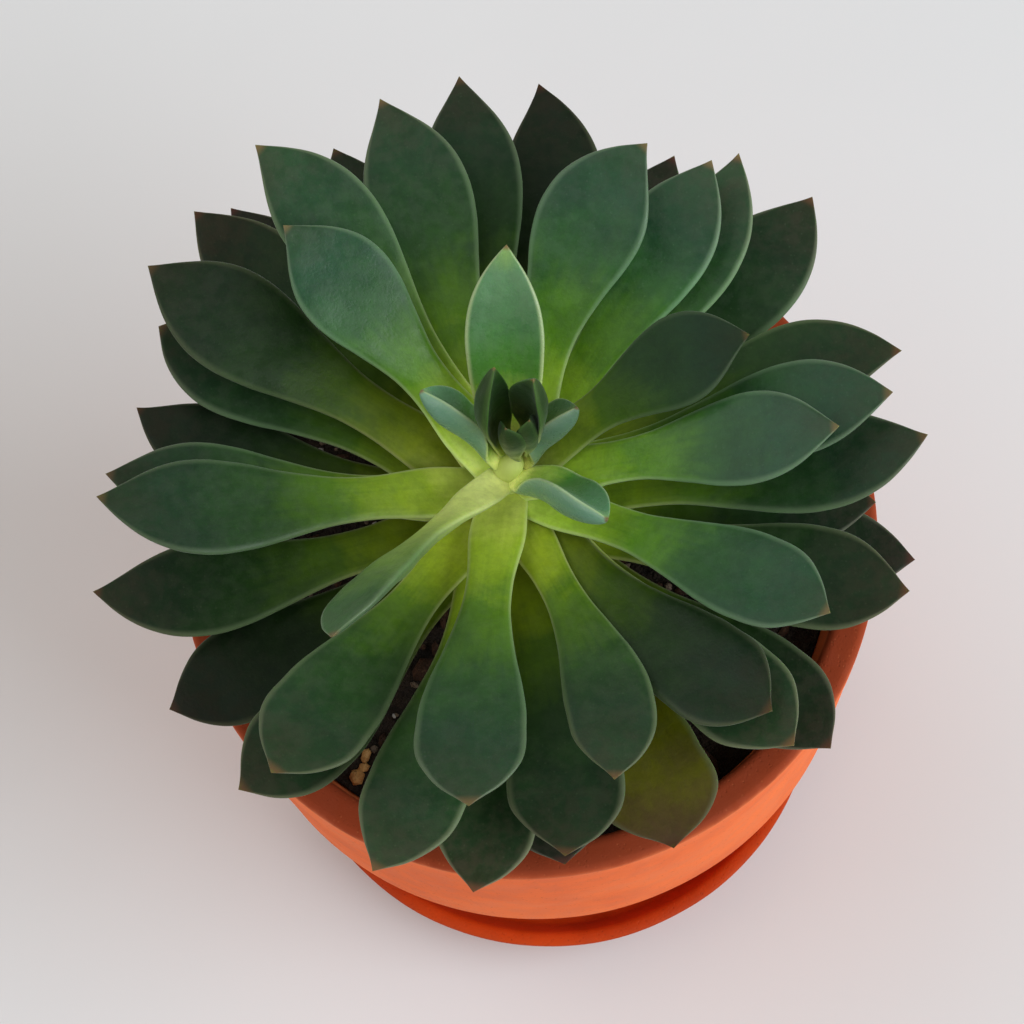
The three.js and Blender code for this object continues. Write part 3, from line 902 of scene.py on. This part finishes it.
def grow_leaf(node, number):
    """Builds one leaf on the grid of (station along, angle round)."""
    rings, foot, tip = rings_of(node)
    fold, roll, wide, fat, long = YOUNG_FORM.get(node, PLAIN_FORM)
    outward = unit((tip - foot)[:2])
    long = long * (1 + BACK_LONGER * smooth_step(outward[1], 0.4, 1.0))
    tip = foot + (tip - foot) * long
    rows = measured(foot + (rings - foot) * long, tip)
    knots = np.concatenate([[0], np.cumsum(np.linalg.norm(np.diff(rows[:, :3], axis=0), axis=1))])
    length = knots[-1]
    knots = knots / length
    back = rows[0].copy()
    back[:3] -= unit(rows[1, :3] - rows[0, :3]) * SUNK
    rows = np.vstack([back, rows])
    knots = np.concatenate([[-SUNK / length], knots])

    s = np.linspace(0, 1, LEAF_ROWS + 1)[:-1]
    at = knots[0] + (1 - knots[0]) * (1 - (1 - s) ** TIP_CROWDING)
    fine = eased(at, knots, rows)
    centre, across = fine[:, :3], unit(fine[:, 3:6])
    half, thick, middle, dish = (fine[:, k, None] for k in range(6, 10))
    along = unit(np.gradient(np.vstack([centre, tip]), axis=0)[:-1])
    across = unit(across - (across * along).sum(-1, keepdims=True) * along)
    normal = np.cross(along, across)
    near_foot = 1 - smooth_step(at, 0.0, 0.42)[:, None]
    age = float(np.clip((CROWN_Z - foot[2]) / (CROWN_Z - LOWEST_FOOT), 0, 1))
    sunny = smooth_step(-outward[1], 0.1, 0.8) + (node == "leaf_south_pale")
    shoulder = (smooth_step(at, 0.76, 0.9) * (1 - smooth_step(at, 0.95, 1.0)))[:, None]
    half = np.maximum(half, LEAST_HALF) * (1 + FOOT_WIDER * near_foot + SUNNY_FULLER * sunny * shoulder)
    thick = np.maximum(thick, LEAST_THICK) * (1 + FOOT_THICKER * near_foot)
    if age < YOUNG_AGE:
        full = half.max() * eased(np.clip(at, 0, 1), YOUNG_OUTLINE[:, 0], YOUNG_OUTLINE[:, 1:])
        half = np.maximum(full, LEAST_HALF) * (1 - 0.25 * fold) * wide / long
        thick = thick * fat
        dish = full * fold * wide / long * smooth_step(at, -0.1, 0.3)[:, None]
        turn_by = np.radians(roll) * smooth_step(at, 0.0, 0.45)[:, None]
        across, normal = (across * np.cos(turn_by) - normal * np.sin(turn_by),
                          normal * np.cos(turn_by) + across * np.sin(turn_by))

    a = np.arange(LEAF_COLUMNS)[None] * 2 * np.pi / LEAF_COLUMNS
    side = np.sign(np.cos(a)) * np.abs(np.cos(a)) ** EDGE_POWER
    high = np.sin(a) * np.where(np.sin(a) > 0, UPPER_SHARE, UNDER_SHARE)
    x = half * side
    y = middle + thick * high + dish * side**2
    points = centre[:, None] + x[..., None] * across[:, None] + y[..., None] * normal[:, None]
    soft = waves(points.reshape(-1, 3), SOFT_LENGTH, SEED + number).reshape(points.shape[:2])
    points += (soft * SOFT_HEIGHT * np.minimum(1, half / SOFT_FADES_UNDER))[..., None] * normal[:, None]
    points = np.vstack([points.reshape(-1, 3), centre[0], tip])

    # The leaf's grade: its lightness is painted light and shade, together with its own tone.
    pale, warm = TINTS.get(node, PLAIN_TINT)
    u = np.concatenate([np.repeat(np.clip(at, 0, 1), LEAF_COLUMNS), [0, 1]])
    v = np.concatenate([np.tile(0.5 + 0.5 * side[0], LEAF_ROWS), [0.5, 0.5]])
    top = np.concatenate([np.tile(smooth_step(np.sin(a[0]), -0.25, 0.15), LEAF_ROWS), [0, 1]])
    values = {
        "age": np.full(len(u), age),
        "pale": np.full(len(u), (pale - LIGHT_AND_TONE_LEAST) / (LIGHT_AND_TONE_MOST - LIGHT_AND_TONE_LEAST)),
        "warm": np.full(len(u), warm),
        "upper": top,
    }
    slot = slots[node]
    finish = SPECIAL.get(node, LEAF_FINISHES[slot])
    return make_piece("grown_" + node, points, capped_faces(LEAF_ROWS, LEAF_COLUMNS), finish, [node],
                      np.stack([u, v], -1), values)


slots = {entry["node"]: entry["material_slot"] for entry in frame["record"]["subparts"]}
leaf_nodes = sorted(name for name in frame["nodes"] if name.startswith("leaf_"))
leaves = [grow_leaf(node, number) for number, node in enumerate(leaf_nodes)]
print("leaves:", len(leaves), "of", len(leaves[0].data.polygons), "faces")

# %% [markdown]
# ## The stem
# The short stem is nearly hidden. It leans over towards its crown and carries the low ring
# scars of leaves that have dropped. A circle carried up the leaning line makes it, its radius
# swelling at each scar.

# %% Stem
stem_skin, stem_tree, stem_shader = finish_of("stem_skin")
stem_here = place(stem_tree)
stem_cloud = placed(stem_tree, clouds, Place=stem_here, Size=160.0)
fresh = span(stem_tree, axes(stem_tree, stem_here)["Z"], SOIL_TOP + 6 * MM, CROWN_Z - 8 * MM)
blotches = times(stem_tree, stem_cloud["Wide"], span(stem_tree, fresh, 0, 1, 0.4, 0.0))
stem_colour = blend(stem_tree, fresh, (0.09, 0.06, 0.025), (0.62, 0.72, 0.2))
stem_colour = blend(stem_tree, blotches, stem_colour, (0.12, 0.1, 0.04))
put(stem_shader.inputs["Base Color"], stem_colour)
put(stem_shader.inputs["Roughness"], span(stem_tree, stem_cloud["Small"], 0, 1, 0.45, 0.7))
bark_height = times(stem_tree, stem_cloud["Small"], span(stem_tree, fresh, 0, 1, 1.0, 0.05))
put(stem_shader.inputs["Normal"], bump(stem_tree, bark_height, 0.0003))

STEM_ROWS = 90
STEM_SIDES = 48
STEM_AT = np.array([-4.0, 3.0]) * MM
STEM_LEAN = np.array([6.0, 4.0]) * MM
STEM_FOOT_MM = 7.4
STEM_TIP_MM = 1.5
SCAR_SWELL = 0.25 * MM
SCAR_PITCH = 2.6 * MM
ROUNDED_SHARE = 0.06
stem_z = np.linspace(SOIL_TOP - 3 * MM, CROWN_Z - 4.5 * MM, STEM_ROWS)
share = np.clip((stem_z - SOIL_EDGE) / (CROWN_Z - SOIL_EDGE), 0, 1)
scars = SCAR_SWELL * np.maximum(0, np.sin(stem_z / SCAR_PITCH * 2 * np.pi)) ** 4
stem_r = STEM_FOOT_MM * MM + (STEM_TIP_MM - STEM_FOOT_MM) * MM * share + scars
stem_r *= np.sqrt(np.clip((share[-1] + 0.004 - share) / ROUNDED_SHARE, 0, 1))
a = np.arange(STEM_SIDES)[None] * 2 * np.pi / STEM_SIDES
stem_x = STEM_AT[0] + STEM_LEAN[0] * share[:, None] ** 4 + stem_r[:, None] * np.cos(a)
stem_y = STEM_AT[1] + STEM_LEAN[1] * share[:, None] ** 4 + stem_r[:, None] * np.sin(a)
stem_points = np.stack([stem_x, stem_y, stem_z[:, None] + 0 * a], -1).reshape(-1, 3)
stem_points = np.vstack([stem_points, stem_points[:STEM_SIDES].mean(0), stem_points[-STEM_SIDES:].mean(0)])
stem = make_piece("leafy_stem", stem_points, capped_faces(STEM_ROWS, STEM_SIDES), stem_skin, ["stem"])
print("stem faces:", len(stem.data.polygons))

# %% [markdown]
# ## Floor and light
# A pale sheet and soft daylight. One large panel to the right stands for a window, a weaker one
# behind and to the left for the sky, and a small warm one fills from the front on the left. The
# surroundings give the rest.

# %% Floor and light
FLOOR_PALE = (0.765, 0.775, 0.785)
FLOOR_DEEP = (0.745, 0.755, 0.765)
FLOOR_HALF = 3
ROOM_COLOUR = (1.0, 0.935, 0.85, 1)
ROOM_STRENGTH = 0.42

floor_finish, floor_tree, floor_shader = finish_of("pale_floor")
floor_cloud = placed(floor_tree, clouds, Place=place(floor_tree), Size=4.0)
put(floor_shader.inputs["Base Color"], blend(floor_tree, floor_cloud["Wide"], FLOOR_PALE, FLOOR_DEEP))
floor_shader.inputs["Roughness"].default_value = 0.85
floor_shader.inputs["Specular IOR Level"].default_value = 0.1
floor_mesh = bpy.data.meshes.new("floor")
floor_corners = [(x * FLOOR_HALF, y * FLOOR_HALF, 0) for x, y in ((-1, -1), (1, -1), (1, 1), (-1, 1))]
floor_mesh.from_pydata(floor_corners, [], [(0, 1, 2, 3)])
floor_mesh.materials.append(floor_finish)
floor = bpy.data.objects.new("floor", floor_mesh)
bpy.context.scene.collection.objects.link(floor)


def panel(name, at, towards, size, watts, colour):
    """A square soft light at a point, facing another point."""
    data = bpy.data.lights.new(name, "AREA")
    data.shape = "SQUARE"
    data.size = size
    data.energy = watts
    data.color = colour
    light = bpy.data.objects.new(name, data)
    light.location = at
    light.rotation_mode = "QUATERNION"
    light.rotation_quaternion = (Vector(towards) - Vector(at)).to_track_quat("-Z", "Y")
    bpy.context.scene.collection.objects.link(light)
    return light


window = panel("window", (1.2, -0.6, 1.05), (0, 0, 0.1), 1.3, 23.5, (0.87, 0.94, 1.0))
sky = panel("sky", (-0.9, 0.4, 1.4), (0, 0, 0.1), 1.7, 9.0, (0.93, 0.965, 1.0))
front = panel("front_fill", (-0.9, -1.1, 0.4), (0, 0, 0.08), 0.8, 2.2, (1.0, 0.96, 0.9))
world = bpy.data.worlds.new("room")
world.use_nodes = True
world.node_tree.nodes["Background"].inputs["Color"].default_value = ROOM_COLOUR
world.node_tree.nodes["Background"].inputs["Strength"].default_value = ROOM_STRENGTH
bpy.context.scene.world = world
print("lights:", window.name, sky.name, front.name)
